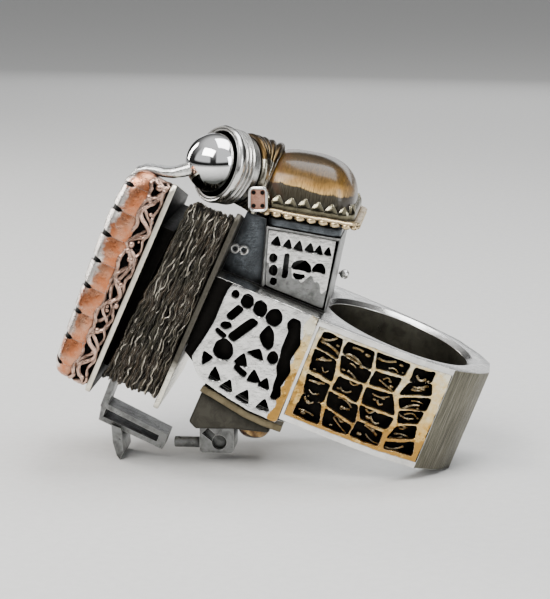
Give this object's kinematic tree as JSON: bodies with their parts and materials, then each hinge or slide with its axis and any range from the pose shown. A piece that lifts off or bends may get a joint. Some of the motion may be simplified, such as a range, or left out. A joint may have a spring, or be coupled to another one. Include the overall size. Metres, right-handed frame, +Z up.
{
  "type": "finger ring",
  "caption": "Sculptural finger ring with a flat-sided pierced band, a large layered box head in a petal bezel, and a small turret carrying a domed stone and a polished ball.",
  "frame": {"origin": "middle of the bounding box at the level of the surface that the ring rests on", "axes": "+X from the stone head towards the outer end of the shank, +Y across the finger away from the near side, +Z up from the resting surface; the finger hole's axis leans from +Z towards +X"},
  "size_m": [0.0486, 0.0206, 0.0388],
  "materials": {
    "dark_silver": "oxidised, satin",
    "white_silver": "bright satin",
    "gold_silver": "gilded, worn",
    "grey_silver": "brushed, darkened",
    "polished_silver": "polished",
    "copper": "copper with bright worn edges",
    "brass": "pale brass, satin",
    "bark_bronze": "dark bark-like cast bronze",
    "gold_stone": "polished tiger's eye, golden",
    "brown_stone": "polished tiger's eye, brown"
  },
  "bodies": {
    "root": {"band": "dark_silver", "cheek_near": "white_silver", "cheek_far": "white_silver", "relief_near": "gold_silver", "relief_far": "gold_silver", "neck": "grey_silver", "back_plate": "polished_silver", "leaf_block": "bark_bronze", "core": "dark_silver", "front_plate": "polished_silver", "gallery": "polished_silver", "petal_bezel": "copper", "face_stone": "brown_stone", "turret": "grey_silver", "turret_plate_near": "white_silver", "turret_plate_far": "white_silver", "turret_cap": "grey_silver", "scallop_wire": "brass", "saw_bezel": "polished_silver", "dome_stone": "gold_stone", "ribbed_sleeve": "polished_silver", "ball_cup": "polished_silver", "ball": "polished_silver", "bridge_strap": "polished_silver", "rivet_tab": "copper", "granule": "polished_silver", "lower_drum": "dark_silver", "lower_wire": "brass", "lower_stone": "gold_stone", "foot_cube": "grey_silver", "foot_bar": "grey_silver", "hook_strap": "grey_silver"}
  },
  "joints": []
}
